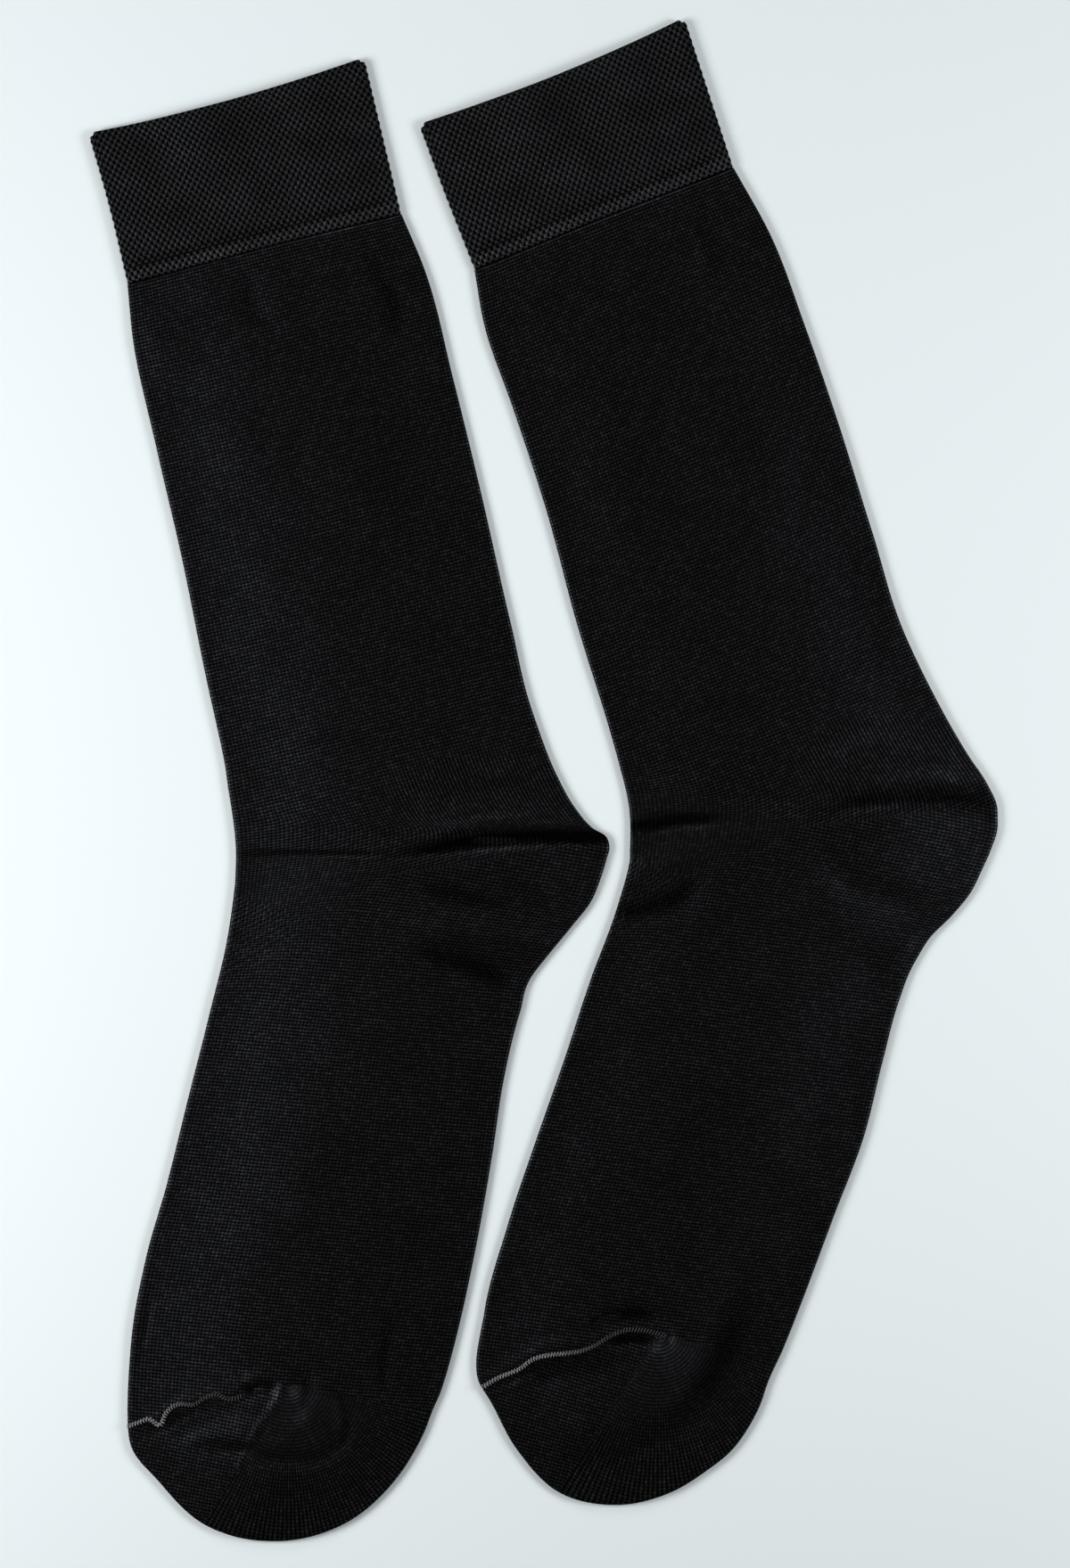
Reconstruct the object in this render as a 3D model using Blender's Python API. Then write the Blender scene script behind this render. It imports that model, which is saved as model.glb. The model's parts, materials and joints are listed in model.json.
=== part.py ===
"""A pair of fine dress socks lying flat, each on its side with its toe towards -Y and its heel towards +X.

A sock is a knitted tube pressed flat: its top layer turns into its bottom layer along a front and a back edge.
Its tubes (cuff, leg and foot) are lofted through sections that run from the front edge over a middle point to the
back edge. Its two pockets (heel and toe) are lofted through rays that fan out from the ankle and the toe point.
"""

import math

import bpy
import numpy as np

MM = 0.001

# The cloth, in millimetres: wall thicknesses, the air between the layers, and the gap between two pieces.
JERSEY_WALL = 1.0
WELT_WALL = 1.3
AIR = 0.6
SEAM_GAP = 0.3
LOOP_RADIUS = 0.8

# The top layer swells by CROWN within about EDGE_SLOPE of the folded edges. A pocket leaves APEX_HOLE open.
CROWN = 0.5
EDGE_SLOPE = 9.0
APEX_HOLE = 1.0

# How finely a half section and its edge, a tube's length, a pocket's fan at its folded edge and a bead are divided.
TOP_STEPS = 6
BOTTOM_STEPS = 3
EDGE_STEPS = 4
SECTION_PITCH = 14.0
RAY_PITCH = 7.0
BEAD_SIDES = 6

# A section, in millimetres from the ankle point. "along" runs up the leg or down the foot, "front" and "back" are
# the reaches to the two edges, and the slips say how much further along each edge lies than the middle does.
SECTION = ("along", "front", "front_slip", "back", "back_slip")
# A ray of a pocket: degrees counter-clockwise from +X, and the reach in millimetres to the folded edge.
RAY = ("angle", "reach")
# A soft ridge, or a trough where its height is negative, between two points measured from the ankle point.
FOLD = ("x1", "y1", "x2", "y2", "width", "height")

LEFT_SOCK = {
    "ankle": (-48.5, -25.0),
    "ankle_front": (-49.5, 0.0),
    "leg_lean": 12.2,
    "foot_lean": -11.0,
    "toe_along": 169.5,
    "cuff": [
        (247.5, 45.5, -1.5, 45.5, 3.5),
        (223.0, 44.0, -2.0, 46.0, 2.0),
        (198.0, 43.5, -1.5, 46.5, 2.0),
    ],
    "leg": [
        (180.0, 45.5, -1.0, 50.0, 1.0),
        (145.0, 45.5, -1.0, 51.5, 1.0),
        (109.0, 45.0, 0.0, 52.5, 0.0),
        (67.0, 45.5, 2.0, 53.0, -2.5),
        (34.0, 45.5, 7.0, 54.0, 0.5),
    ],
    "heel": [
        (27.0, 59.0),
        (16.0, 60.5),
        (9.0, 64.5),
        (5.5, 69.0),
        (3.0, 69.5),
        (0.0, 68.5),
        (-5.0, 67.0),
        (-12.0, 65.0),
        (-20.0, 61.5),
        (-32.0, 58.5),
    ],
    "foot": [
        (8.0, 47.5, 8.5, 51.5, 19.0),
        (22.0, 46.5, 11.5, 49.5, 18.0),
        (61.0, 47.5, -1.0, 48.5, 1.0),
        (87.0, 49.0, 0.0, 49.5, 0.0),
        (116.0, 50.5, 0.0, 50.0, 0.0),
        (141.0, 52.5, -1.0, 49.5, 1.0),
        (156.5, 52.0, 10.5, 48.0, 5.5),
    ],
    "toe": [
        (-15.0, 46.0),
        (-28.0, 45.5),
        (-44.0, 46.0),
        (-69.0, 48.5),
        (-96.0, 51.0),
        (-121.0, 53.0),
        (-143.0, 52.5),
        (-159.0, 54.5),
        (-162.0, 54.0),
    ],
    "folds": [
        (38.0, -1.0, 58.0, -3.0, 16.0, 2.4),
        (2.0, 1.0, 66.0, 5.5, 3.0, -1.6),
        (22.0, -26.0, 40.0, -34.0, 9.0, 1.0),
        (-52.0, -213.0, -22.0, -203.0, 15.0, 1.6),
    ],
}

RIGHT_SOCK = {
    "ankle": (80.5, -13.0),
    "ankle_front": (-53.0, 0.5),
    "leg_lean": 18.1,
    "foot_lean": -15.2,
    "toe_along": 168.5,
    "cuff": [
        (251.0, 45.5, -3.0, 45.5, 3.0),
        (226.0, 44.5, -2.5, 45.5, 2.5),
        (201.0, 43.0, -2.5, 45.5, 3.0),
    ],
    "leg": [
        (180.5, 45.5, 0.0, 50.0, 0.0),
        (151.0, 45.0, 1.0, 51.5, -1.5),
        (118.5, 45.0, 1.0, 52.0, -1.0),
        (80.5, 47.0, 0.5, 51.5, -0.5),
        (36.5, 47.5, 12.0, 51.5, 6.5),
    ],
    "heel": [
        (21.0, 58.5),
        (10.5, 62.0),
        (4.0, 64.0),
        (1.0, 64.0),
        (-2.0, 64.0),
        (-8.5, 62.5),
        (-15.0, 61.0),
        (-22.0, 60.0),
        (-31.0, 58.0),
        (-42.0, 56.5),
    ],
    "foot": [
        (9.0, 48.0, 17.0, 48.5, 23.0),
        (26.0, 48.0, 17.0, 46.5, 20.5),
        (66.0, 50.0, -1.0, 46.5, 0.5),
        (92.5, 51.5, 0.5, 47.0, -0.5),
        (119.5, 53.5, 1.5, 44.5, -1.5),
        (146.0, 55.0, 1.5, 42.0, -1.0),
        (157.0, 55.0, 19.5, 40.0, 6.0),
    ],
    "toe": [
        (-29.0, 39.0),
        (-46.5, 42.0),
        (-58.0, 44.5),
        (-71.0, 47.0),
        (-86.0, 51.5),
        (-105.0, 57.0),
        (-121.0, 60.0),
        (-140.0, 58.5),
        (-159.0, 58.0),
        (-163.0, 59.0),
    ],
    "folds": [
        (36.0, -3.0, 54.0, -10.0, 16.0, 2.4),
        (12.0, 5.0, 60.0, 4.0, 3.0, -1.6),
        (16.0, -30.0, 36.0, -40.0, 9.0, 1.0),
        (-74.0, -208.0, -44.0, -196.0, 15.0, 1.6),
    ],
}


def clear_scene():
    """Removes whatever the scene holds."""
    for obj in list(bpy.data.objects):
        bpy.data.objects.remove(obj)


def yarn_material(name, colour, roughness):
    """A dull knitted yarn of that colour."""
    material = bpy.data.materials.new(name)
    material.use_nodes = True
    shader = material.node_tree.nodes["Principled BSDF"]
    shader.inputs["Base Color"].default_value = (*colour, 1.0)
    shader.inputs["Roughness"].default_value = roughness
    shader.inputs["Metallic"].default_value = 0.0
    return material


def columns(table, names):
    """The columns of a table as arrays, in the order of their names."""
    values = np.array(table, float)
    return [values[:, names.index(name)] for name in names]


def unit(vectors):
    return vectors / np.linalg.norm(vectors, axis=-1, keepdims=True)


def heading(degrees):
    """Unit vectors at these angles, counter-clockwise from +X."""
    angles = np.radians(np.asarray(degrees, float))
    return np.stack([np.cos(angles), np.sin(angles)], axis=-1)


def smooth(at, knots, values):
    """A cubic through the knots that takes its slope at each one from the neighbouring knots."""
    slopes = np.gradient(values, knots, axis=0)
    left = np.clip(np.searchsorted(knots, at) - 1, 0, len(knots) - 2)
    width = knots[left + 1] - knots[left]
    column = (-1,) + (1,) * (values.ndim - 1)
    t = ((at - knots[left]) / width).reshape(column)
    width = width.reshape(column)
    rise = values[left + 1] - values[left]
    a = slopes[left] * width - rise
    b = rise - slopes[left + 1] * width
    return values[left] + t * rise + t * (1 - t) * (a * (1 - t) + b * t)


def section_points(sock, table, along_axis):
    """The front, middle and back points of each section, for a tube that leaves the ankle along that axis."""
    along, front, front_slip, back, back_slip = columns(table, SECTION)
    towards_back = np.array([abs(along_axis[1]), -along_axis[0] * np.sign(along_axis[1])])
    reaches = np.stack([-front, 0 * along, back], axis=1)[..., None] * towards_back
    travels = np.stack([along + front_slip, along, along + back_slip], axis=1)[..., None] * along_axis
    return along, np.array(sock["ankle"]) + reaches + travels


def ray_ends(apex, rays):
    """The points where a pocket's rays meet its folded edge."""
    angle, reach = columns(rays, RAY)
    return apex + heading(angle) * reach[:, None]


def fan(rays):
    """Evenly turned rays, about RAY_PITCH apart at the folded edge, whose reach runs smoothly through the given ones."""
    angle, reach = columns(rays, RAY)
    swept = math.radians(abs(angle[-1] - angle[0])) * reach.mean()
    turned = np.linspace(angle[0], angle[-1], math.ceil(swept / RAY_PITCH) + 1)
    return np.stack([turned, smooth(-turned, -angle, reach)], axis=1)


def loft(along, points):
    """Evenly spaced sections, about SECTION_PITCH apart, on a smooth surface through the given ones."""
    count = math.ceil((along[-1] - along[0]) / SECTION_PITCH) + 1
    return smooth(np.linspace(along[0], along[-1], count), along, points)


def swell(sock, flat, from_edge):
    """How far the top layer rises over flat cloth: a low crown and the folds, which fade out at the edges and never
    press it into the bottom layer."""
    height = np.full(flat.shape[:-1], CROWN)
    for x1, y1, x2, y2, width, rise in sock["folds"]:
        start = np.array(sock["ankle"]) + (x1, y1)
        run = np.array([x2 - x1, y2 - y1])
        share = np.clip((flat - start) @ run / (run @ run), 0, 1)
        distance = np.linalg.norm(flat - start - share[..., None] * run, axis=-1)
        height += rise * np.exp(-((distance / width) ** 2))
    return np.maximum(height, -AIR / 2) * (1 - np.exp(-((from_edge / EDGE_SLOPE) ** 2)))


def half_shell(sock, middle, edge, wall):
    """The outer and inner points of half a pressed tube: over its top, round its folded edge, back underneath."""
    height = 2 * wall + AIR
    turn = height / 2
    outward = unit(edge - middle)
    centre = edge - outward * turn
    span = np.linalg.norm(centre - middle, axis=-1)[:, None]
    top = np.linspace(0, 1, TOP_STEPS + 1)
    bottom = np.linspace(1, 0, BOTTOM_STEPS + 1)
    round_edge = np.radians(np.linspace(90, -90, EDGE_STEPS + 1)[1:-1])[None, :, None]
    layers = []
    for inset in (0, wall):
        over = middle[:, None] + (centre - middle)[:, None] * top[None, :, None]
        over_z = height - inset + swell(sock, over, span * (1 - top))
        under = middle[:, None] + (centre - middle)[:, None] * bottom[None, :, None]
        under_z = np.full(under.shape[:-1], inset)
        around = centre[:, None] + outward[:, None] * (turn - inset) * np.cos(round_edge)
        around_z = turn + (turn - inset) * np.sin(round_edge[..., 0]) + 0 * span
        flat = np.concatenate([over, around, under], axis=1)
        z = np.concatenate([over_z, around_z, under_z], axis=1)
        layers.append(np.concatenate([flat, z[..., None]], axis=2))
    return layers


def strip(first, second):
    """Quads between two rows of point numbers."""
    return np.stack([first[..., :-1], first[..., 1:], second[..., 1:], second[..., :-1]], axis=-1).reshape(-1, 4)


def wall_object(name, outer, inner, closes, material):
    """A closed wall between an outer and an inner grid of points, whose rows may close on themselves."""
    rows, across = outer.shape[:2]
    number = np.arange(rows * across).reshape(rows, across)
    if closes:
        number = np.concatenate([number, number[:, :1]], axis=1)
    inside = number + rows * across
    faces = [strip(number[:-1], number[1:]), strip(inside[1:], inside[:-1])]
    faces += [strip(inside[0], number[0]), strip(number[-1], inside[-1])]
    if not closes:
        faces += [strip(number[:, 0], inside[:, 0]), strip(inside[:, -1], number[:, -1])]
    points = np.concatenate([outer.reshape(-1, 3), inner.reshape(-1, 3)])
    return solid_object(name, points, np.concatenate(faces), material)


def solid_object(name, points, faces, material):
    """A mesh object of these points, in millimetres, with its faces turned outwards."""
    corners = points[faces]
    first_half = np.linalg.det(corners[:, [0, 1, 2]]).sum()
    second_half = np.linalg.det(corners[:, [0, 2, -1]]).sum()
    if first_half + second_half < 0:
        faces = faces[:, ::-1]
    mesh = bpy.data.meshes.new(name)
    mesh.from_pydata((points * MM).tolist(), [], faces.tolist())
    mesh.shade_smooth()
    mesh.set_sharp_from_angle(angle=math.radians(50))
    mesh.materials.append(material)
    obj = bpy.data.objects.new(name, mesh)
    bpy.context.scene.collection.objects.link(obj)
    return obj


def tube(name, sock, sections, wall, material):
    """A length of pressed tube through sections of a front, a middle and a back point."""
    front, middle, back = (sections[:, i] for i in range(3))
    back_half = half_shell(sock, middle, back, wall)
    front_half = half_shell(sock, middle, front, wall)
    outer, inner = (
        np.concatenate([b, f[:, -2:0:-1]], axis=1) for b, f in zip(back_half, front_half)
    )
    wall_object(name, outer, inner, True, material)


def pocket(name, sock, apex, rays, material):
    """A heel or toe pocket, moved out from the pieces beside it by half a seam gap."""
    rays = fan(rays)
    angle = columns(rays, RAY)[0]
    half_fan = math.radians(abs(angle[-1] - angle[0]) / 2)
    away = heading((angle[0] + angle[-1]) / 2) * SEAM_GAP / 2 / math.sin(half_fan)
    mouth = apex + heading(angle) * APEX_HOLE
    outer, inner = half_shell(sock, mouth, ray_ends(apex, rays), JERSEY_WALL)
    shift = np.append(away, 0)
    wall_object(name, outer + shift, inner + shift, False, material)


def bead(name, sock, start, end, material):
    """The closing seam: a row of loops as one round bead that lies on the panels between two points."""
    panel = half_shell(sock, end[None], start[None], JERSEY_WALL)[0][0, : TOP_STEPS + 1]
    centre = panel + (0, 0, SEAM_GAP + LOOP_RADIUS)
    side = np.append(unit(np.array([start[1] - end[1], end[0] - start[0]])), 0)
    turns = np.linspace(0, 2 * math.pi, BEAD_SIDES, endpoint=False)[:, None]
    ring = LOOP_RADIUS * (np.cos(turns) * side + np.sin(turns) * np.array([0, 0, 1]))
    hub = 0.25 * ring
    wall_object(name, centre[:, None] + ring, centre[:, None] + hub, True, material)


def draw_back(sections, axis, first, last):
    """Draws a tube's first and last section in by half a seam gap where it meets another piece."""
    sections = sections.copy()
    sections[0] += axis * first * SEAM_GAP / 2
    sections[-1] -= axis * last * SEAM_GAP / 2
    return sections


def build_sock(side, sock, materials):
    """All the pieces of one sock, from its mouth to its toe."""
    ankle = np.array(sock["ankle"])
    up_leg = heading(90 + sock["leg_lean"])
    down_foot = heading(270 + sock["foot_lean"])
    toe_point = ankle + down_foot * sock["toe_along"]
    heel_edge = ray_ends(ankle, sock["heel"])
    toe_edge = ray_ends(toe_point, sock["toe"])
    ankle_front = ankle + sock["ankle_front"]

    along, points = section_points(sock, sock["cuff"][::-1], up_leg)
    cuff = draw_back(loft(along, points), up_leg, 1, 0)
    tube(f"{side}_cuff", sock, cuff, WELT_WALL, materials["welt"])

    along, points = section_points(sock, (sock["cuff"][-1:] + sock["leg"])[::-1], up_leg)
    along = np.append(0, along)
    points = np.concatenate([[[ankle_front, ankle, heel_edge[0]]], points])
    leg = draw_back(loft(along, points), up_leg, 1, 1)
    tube(f"{side}_leg", sock, leg, JERSEY_WALL, materials["jersey"])

    pocket(f"{side}_heel", sock, ankle, sock["heel"], materials["jersey"])

    along, points = section_points(sock, sock["foot"], down_foot)
    along = np.concatenate([[0], along, [sock["toe_along"]]])
    instep = [[ankle_front, ankle, heel_edge[-1]]]
    ball = [[toe_edge[-1], toe_point, toe_edge[0]]]
    foot = draw_back(loft(along, np.concatenate([instep, points, ball])), down_foot, 1, 1)
    tube(f"{side}_foot", sock, foot, JERSEY_WALL, materials["jersey"])

    pocket(f"{side}_toe", sock, toe_point, sock["toe"], materials["jersey"])
    bead(f"{side}_toe_seam", sock, toe_edge[-1], toe_point, materials["loops"])


clear_scene()
YARNS = {
    "welt": yarn_material("black elastic tuck knit", (0.006, 0.006, 0.007), 0.75),
    "jersey": yarn_material("black cotton jersey", (0.004, 0.004, 0.005), 0.7),
    "loops": yarn_material("dark grey linking thread", (0.02, 0.02, 0.021), 0.7),
}
build_sock("left", LEFT_SOCK, YARNS)
build_sock("right", RIGHT_SOCK, YARNS)
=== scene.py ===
"""A pair of fine dress socks, laid flat side by side, each on its side with its toe towards -Y and its heel
to +X.

A sock is knitted in one go as a tube: an elastic welt at the mouth, a plain jersey leg, a heel pocket, a
jersey foot and a toe pocket, whose open end is linked shut by one seam across the toes.
"""

import json
import math

import bpy
import numpy as np
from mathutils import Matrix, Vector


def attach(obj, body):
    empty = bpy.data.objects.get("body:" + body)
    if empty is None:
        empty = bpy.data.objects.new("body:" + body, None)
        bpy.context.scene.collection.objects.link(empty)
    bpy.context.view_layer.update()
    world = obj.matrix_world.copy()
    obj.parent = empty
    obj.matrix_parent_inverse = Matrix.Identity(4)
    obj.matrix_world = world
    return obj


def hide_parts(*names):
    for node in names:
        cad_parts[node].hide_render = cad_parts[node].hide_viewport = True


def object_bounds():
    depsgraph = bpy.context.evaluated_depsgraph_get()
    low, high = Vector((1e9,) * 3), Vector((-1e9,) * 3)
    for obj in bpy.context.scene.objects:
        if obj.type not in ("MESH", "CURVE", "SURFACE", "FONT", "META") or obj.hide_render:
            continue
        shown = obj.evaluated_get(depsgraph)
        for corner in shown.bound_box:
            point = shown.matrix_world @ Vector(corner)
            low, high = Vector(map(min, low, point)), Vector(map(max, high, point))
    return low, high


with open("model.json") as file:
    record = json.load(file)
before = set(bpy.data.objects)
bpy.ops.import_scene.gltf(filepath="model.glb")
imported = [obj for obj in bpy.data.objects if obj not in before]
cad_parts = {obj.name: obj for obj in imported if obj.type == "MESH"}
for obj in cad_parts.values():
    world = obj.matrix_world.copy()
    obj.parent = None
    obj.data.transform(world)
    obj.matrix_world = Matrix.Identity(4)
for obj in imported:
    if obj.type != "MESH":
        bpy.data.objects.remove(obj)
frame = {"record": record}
cad_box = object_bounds()

# The welts: the stretchy band at each mouth. Black cotton and elastane, knitted with tucks into a honeycomb
# of small pits, and thicker than the leg. Its last few rows stand up as a roll where the leg's plain jersey
# begins.
MM = 0.001
SIDES = ("left", "right")
LEG_LEAN = {"left": 12.2, "right": 18.1}
WELT_WALL = 1.1
AIR = 0.6

# A section, in millimetres from the ankle point: how far up the leg or down the foot it lies, its reaches
# to the front and the back edge, and how much further along each edge lies than the middle does.
WELTS = {
    "left": [
        (247.5, 45.5, -1.5, 45.5, 3.5),
        (223.0, 44.0, -2.0, 46.0, 2.0),
        (198.0, 43.5, -1.5, 46.5, 2.0),
    ],
    "right": [
        (251.0, 45.5, -3.0, 45.5, 3.0),
        (226.0, 44.5, -2.5, 45.5, 2.5),
        (201.0, 43.0, -2.5, 45.5, 3.0),
    ],
}
# A crease: the points it runs through, in millimetres from the ankle point, its width at either end, and
# how far it stands up or, below zero, how deep it is. It has all of that between its run-outs, a share of
# its length at each end, and only a fifth of it at the very ends.
CREASE_RUN_OUT = 0.3
CREASE_END = 0.2
WELT_CREASES = {
    "left": [
        ([(-36, 211), (-20, 207)], 10, 9, -0.9),
        ([(-88, 236), (-70, 222), (-64, 204)], 7, 5, -0.5),
        ([(-12, 240), (-14, 222)], 6, 8, 0.35),
    ],
    "right": [
        ([(-78, 232), (-62, 214)], 9, 7, -0.7),
        ([(-22, 246), (-30, 226), (-28, 212)], 6, 9, 0.4),
        ([(-52, 238), (-46, 222)], 6, 6, -0.35),
    ],
}
HONEYCOMB_CELLS = 42
HONEYCOMB_ROW = 1.34
PIT_DEPTH = 0.6
# The mouth's edge is rounded at its two corners and sags between them, and both die away down the welt.
MOUTH_CORNER = 1.2
MOUTH_SAG = 1.9
MOUTH_REACH = 7.0
# The roll at the leg's end: a ridge and a groove, each with its distance from that end, its width and its
# rise, and then the raised band, with the length of the slope up to it.
ROLL = [(5.3, 0.8, 0.75), (4.3, 0.4, -0.4)]
BAND_LENGTH = 3.9
BAND_HEIGHT = 0.4
BAND_SLOPE = 0.4
# The swell of a welt: how far from its front and its back fold the cloth goes on rising, and its rise.
WELT_CROWN = {"left": (26.0, 16.0, 1.1), "right": (16.0, 26.0, 1.1)}
# Creases grow from nothing at a fold over this reach, and press the two layers no closer than the least air.
FOLD_REACH = 2.5
LEAST_AIR = 0.2
# The waves of the cloth's slow unevenness: how many, how long, and how high in the welts.
WAVES = 12
SHORTEST_WAVE = 12
LONGEST_WAVE = 45
WELT_UNEVENNESS = 0.16
# The hidden inner wall has one row for so many of the outer one.
WALL_ROW_STEP = 8


def heading(degrees):
    """Unit vectors at these angles, counter-clockwise from +X."""
    angles = np.radians(np.asarray(degrees, float))
    return np.stack([np.cos(angles), np.sin(angles)], axis=-1)


def ankle_of(side):
    """The ankle point in millimetres. The mount on the leg's underside lies 100 mm up the leg from it."""
    mounts = {mount["name"]: mount["pos_m"] for mount in frame["record"]["mounts"]}
    return np.array(mounts[f"{side}_underside"][:2]) / MM - 100 * heading(90 + LEG_LEAN[side])


def section_edges(ankle, axis, table):
    """The front and back edge points of each section: the ankle, plus the axis times how far along it that
    edge lies, and to one side or the other by its reach."""
    along, front, front_slip, back, back_slip = np.array(table, float).T
    towards_back = np.array([abs(axis[1]), -axis[0] * np.sign(axis[1])])
    fronts = axis * (along + front_slip)[:, None] - towards_back * front[:, None]
    backs = axis * (along + back_slip)[:, None] + towards_back * back[:, None]
    return ankle + fronts, ankle + backs


def smooth(at, knots, values):
    """A cubic through the knots that takes its slope at each one from the neighbouring knots."""
    slopes = np.gradient(values, knots, axis=0)
    left = np.clip(np.searchsorted(knots, at) - 1, 0, len(knots) - 2)
    column = np.shape(at) + (1,) * (values.ndim - 1)
    width = (knots[left + 1] - knots[left]).reshape(column)
    share = (at - knots[left]).reshape(column) / width
    rise = values[left + 1] - values[left]
    leaving = slopes[left] * width - rise
    arriving = rise - slopes[left + 1] * width
    bend = leaving * (1 - share) + arriving * share
    return values[left] + share * rise + share * (1 - share) * bend


def travel(points):
    """How far each point lies along the line through them all."""
    steps = np.linalg.norm(np.diff(points, axis=0), axis=-1)
    return np.concatenate([[0], np.cumsum(steps)])


def even_rows(fronts, backs, pitch, fine_pitch=1, fine=()):
    """Rows a pitch apart, counted on the mean of both edges, or a finer one between these places along
    them. Each edge is a cubic through its points."""
    along = (travel(fronts) + travel(backs)) / 2
    measured = np.linspace(0, along[-1], 2000)
    density = np.full(measured.shape, 1 / pitch)
    for start, end in fine:
        density[(measured > start) & (measured < end)] = 1 / fine_pitch
    count = np.concatenate([[0], np.cumsum(density[1:] * np.diff(measured))])
    at = np.interp(np.linspace(0, count[-1], math.ceil(count[-1]) + 1), count, measured)
    return smooth(at, along, fronts), smooth(at, along, backs)


def ring(top, bottom, edge):
    """One ring of a pressed tube, over its top from front to back and home underneath. It gives each
    point's place between the two folds, how far out of a fold it lies (cosine), how high (sine), and the
    cloth round the fold."""
    turned = np.radians(np.linspace(90, -90, edge + 1)[1:-1])
    place = np.concatenate([np.linspace(0, 1, top), 1 + 0 * turned, np.linspace(1, 0, bottom), 0 * turned])
    out = np.concatenate([np.zeros(top), np.cos(turned), np.zeros(bottom), -np.cos(turned)])
    high = np.concatenate([np.ones(top), np.sin(turned), -np.ones(bottom), -np.sin(turned)])
    round_it = np.pi / 2 - np.abs(turned)
    cloth = np.concatenate([np.zeros(top), round_it, np.zeros(bottom), -round_it])
    return place, out, high, cloth


def pressed(fronts, backs, rings, wall, inset, lift, height):
    """A pressed tube's points and their places on the cloth: each row spans from fold to fold, rounds each
    fold by half the height, and its top is raised by the lift. An inset moves every point in towards the
    hollow."""
    place, out, high, cloth = rings
    width = np.linalg.norm(backs - fronts, axis=1)[:, None]
    outward = (backs - fronts) / width
    half = wall + AIR / 2
    turn = np.minimum(half, 0.45 * width)
    reach = turn + (width - 2 * turn) * place
    flat = fronts[:, None] + outward[:, None] * (reach + (turn - inset) * out)[..., None]
    plan = fronts[:, None] + outward[:, None] * (reach + turn * cloth)[..., None]
    z = half + (half - inset) * high * height + np.where(high == 1, lift * height, 0) + 0 * reach
    z = np.where(high == 1, np.maximum(z, (2 * wall + LEAST_AIR) * height - inset), z)
    return np.concatenate([flat, z[..., None]], axis=2), plan


def from_fold(fronts, backs, place):
    """How far each point of each row lies from the nearer fold, along the row."""
    width = np.linalg.norm(backs - fronts, axis=1)[:, None]
    return np.minimum(place, 1 - place) * width


def bell(distance, reach):
    """A bell: one in the middle, about a third at its reach, and nothing far away."""
    return np.exp(-((distance / reach) ** 2))


def ease(share):
    """A share from 0 to 1 that starts and ends level."""
    return share * share * (3 - 2 * share)


def crown(fronts, backs, place, front_reach, back_reach, rise):
    """A flattened tube's swell: its rise, brought down to nothing at either fold by a bell of the given
    reach."""
    width = np.linalg.norm(backs - fronts, axis=1)[:, None]
    from_front = 1 - bell(place * width, front_reach)
    from_back = 1 - bell((1 - place) * width, back_reach)
    return rise * from_front * from_back


def nearest_on(flat, line):
    """Each point's distance from a smooth line through these points, where on it the nearest point lies,
    from 0 to 1, and on which side: the least over its short runs of the distance to a run."""
    line = np.array(line, float)
    if len(line) > 2:
        line = smooth(np.linspace(0, travel(line)[-1], 8 * len(line)), travel(line), line)
    before = travel(line)
    best = np.full(flat.shape[:-1], np.inf)
    share = np.zeros(flat.shape[:-1])
    side = np.zeros(flat.shape[:-1])
    for start, run, done in zip(line[:-1], np.diff(line, axis=0), before):
        on_run = np.clip((flat - start) @ run / (run @ run), 0, 1)
        away = flat - start - on_run[..., None] * run
        distance = np.linalg.norm(away, axis=-1)
        nearer = distance < best
        best = np.where(nearer, distance, best)
        share = np.where(nearer, (done + on_run * np.linalg.norm(run)) / before[-1], share)
        side = np.where(nearer, np.sign(run[0] * away[..., 1] - run[1] * away[..., 0]), side)
    return best, share, side


def creased(flat, creases):
    """The sum of soft ridges and troughs, each a bell across its line, that dies away towards both of its
    ends."""
    rise = np.zeros(flat.shape[:-1])
    for line, first_width, last_width, height in creases:
        distance, share, _ = nearest_on(flat, line)
        width = first_width + (last_width - first_width) * share
        inside = np.clip(np.minimum(share, 1 - share) / CREASE_RUN_OUT, 0, 1)
        taper = CREASE_END + (1 - CREASE_END) * ease(inside)
        rise += height * taper * bell(distance, width)
    return rise


def undulation(flat, seed, size):
    """A slow unevenness: the sum of seeded waves of several lengths, the longest the highest, that run in all
    directions."""
    random = np.random.default_rng(seed)
    turned = random.uniform(0, 360, WAVES)
    length = random.uniform(SHORTEST_WAVE, LONGEST_WAVE, WAVES)
    start = random.uniform(0, 2 * np.pi, WAVES)
    phase = flat @ (heading(turned) / length[:, None]).T * 2 * np.pi + start
    return size * (np.cos(phase) * length / LONGEST_WAVE).sum(axis=-1) / 3


def strip(first, second):
    """Quads between two rows of point numbers."""
    return np.stack([first[:-1], second[:-1], second[1:], first[1:]], axis=-1)


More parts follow.
